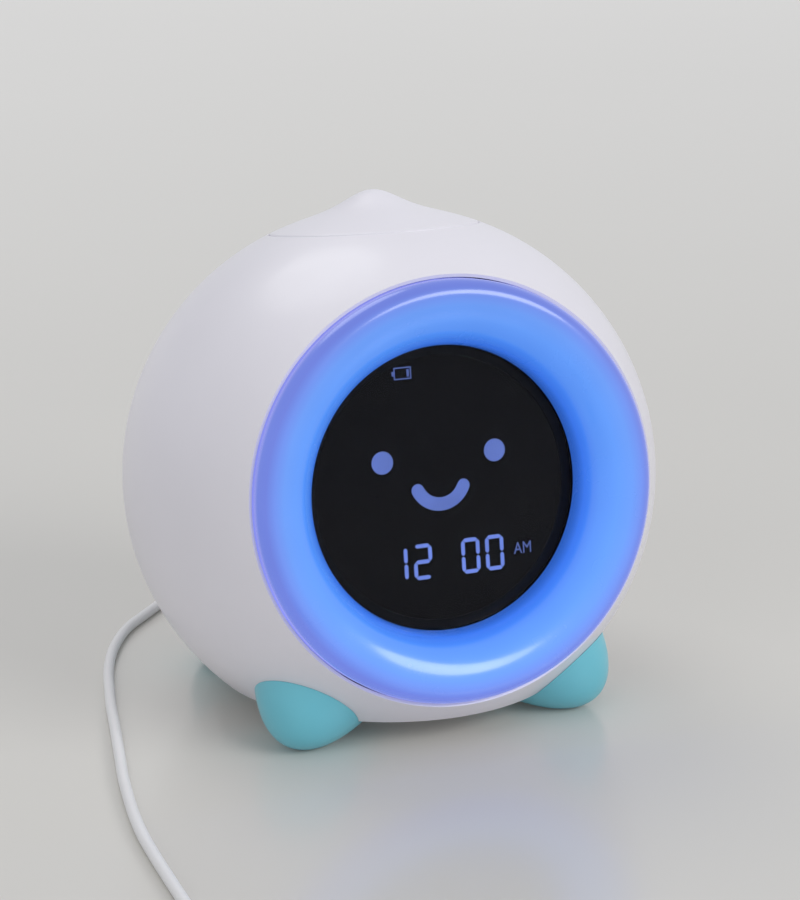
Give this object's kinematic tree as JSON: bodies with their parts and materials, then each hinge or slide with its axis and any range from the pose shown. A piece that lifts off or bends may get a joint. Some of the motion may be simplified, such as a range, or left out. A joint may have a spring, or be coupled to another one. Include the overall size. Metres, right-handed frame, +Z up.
{
  "type": "child's alarm clock with night light",
  "caption": "Leaning ball-shaped alarm clock and night light with a glowing ring round a round screen, a peaked press-down cap, small round feet and a charging lead.",
  "frame": {"origin": "on the floor under the middle of the clock's box, lead left out", "axes": "+Z up, the face and its screen look towards -Y, +X is to the right of someone facing the screen"},
  "size_m": [0.1891, 0.3355, 0.1514],
  "materials": {
    "shell_white": "satin gloss moulded",
    "ring_diffuser": "glossy translucent, lit blue",
    "tray_white": "matt moulded",
    "lamp_board": "white solder mask",
    "lamp": "clear",
    "screw_steel": "zinc plated",
    "screen_black": "satin moulded",
    "window": "polished",
    "display_glass": "polished",
    "circuit_green": "green solder mask",
    "chip": "matt",
    "carrier_grey": "matt moulded",
    "switch_dark": "matt",
    "feet_teal": "satin moulded",
    "button_teal": "matt silicone",
    "panel_white": "fine spark texture",
    "speaker_dark": "matt",
    "magnet": "nickel plated",
    "cell_blue": "shrink sleeve",
    "contact": "nickel plated",
    "lead_white": "soft satin sleeve",
    "plug_white": "satin moulded",
    "tie_dark": "hook and loop"
  },
  "bodies": {
    "case": {"front_shell": "shell_white", "rear_shell": "shell_white", "light_ring": "ring_diffuser", "ring_tray": "tray_white", "ring_board": "lamp_board", "ring_leds": "lamp", "tray_screws": "screw_steel", "screen_frame": "screen_black", "screen_window": "window", "lcd_panel": "display_glass", "display_board": "circuit_green", "board_chips": "chip", "display_screws": "screw_steel", "cap_carrier": "carrier_grey", "carrier_screws": "screw_steel", "snooze_switch": "switch_dark", "foot_left": "feet_teal", "foot_right": "feet_teal", "rear_foot_left": "feet_teal", "rear_foot_right": "feet_teal", "foot_screws": "screw_steel", "rear_panel": "panel_white", "panel_screws": "screw_steel", "control_board": "circuit_green", "button_switches": "switch_dark", "board_screws": "screw_steel", "speaker_frame": "speaker_dark", "speaker_cone": "speaker_dark", "speaker_magnet": "magnet", "speaker_screws": "screw_steel", "battery_cell": "cell_blue", "battery_holder": "speaker_dark", "battery_contacts": "contact", "charge_socket": "contact", "case_screws": "screw_steel", "lead_plug": "plug_white", "lead_plug_tip": "contact", "lead_boot": "plug_white", "lead_cord": "lead_white", "lead_coil": "lead_white", "coil_tie": "tie_dark", "lead_tail": "lead_white", "charger_plug": "plug_white", "charger_plug_shell": "contact"},
    "cap": {"top_cap": "shell_white"},
    "button_light": {"button_light": "button_teal"},
    "button_sound": {"button_sound": "button_teal"},
    "button_alarm": {"button_alarm": "button_teal"},
    "button_minus": {"button_minus": "button_teal"},
    "button_clock": {"button_clock": "button_teal"},
    "button_plus": {"button_plus": "button_teal"}
  },
  "joints": [
    {"name": "cap_press", "type": "slide", "parent": "case", "child": "cap", "axis": [0, -0.1582, -0.9874], "range_m": [0, 0.002], "stiffness_N_per_m": 1200, "springref_m": -0.002},
    {"name": "button_light_press", "type": "slide", "parent": "case", "child": "button_light", "axis": [0, -0.9874, 0.1582], "range_m": [0, 0.001], "stiffness_N_per_m": 1500, "springref_m": -0.001},
    {"name": "button_sound_press", "type": "slide", "parent": "case", "child": "button_sound", "axis": [0, -0.9874, 0.1582], "range_m": [0, 0.001], "stiffness_N_per_m": 1500, "springref_m": -0.001},
    {"name": "button_alarm_press", "type": "slide", "parent": "case", "child": "button_alarm", "axis": [0, -0.9874, 0.1582], "range_m": [0, 0.001], "stiffness_N_per_m": 1500, "springref_m": -0.001},
    {"name": "button_minus_press", "type": "slide", "parent": "case", "child": "button_minus", "axis": [0, -0.9874, 0.1582], "range_m": [0, 0.001], "stiffness_N_per_m": 1500, "springref_m": -0.001},
    {"name": "button_clock_press", "type": "slide", "parent": "case", "child": "button_clock", "axis": [0, -0.9874, 0.1582], "range_m": [0, 0.001], "stiffness_N_per_m": 1500, "springref_m": -0.001},
    {"name": "button_plus_press", "type": "slide", "parent": "case", "child": "button_plus", "axis": [0, -0.9874, 0.1582], "range_m": [0, 0.001], "stiffness_N_per_m": 1500, "springref_m": -0.001}
  ]
}
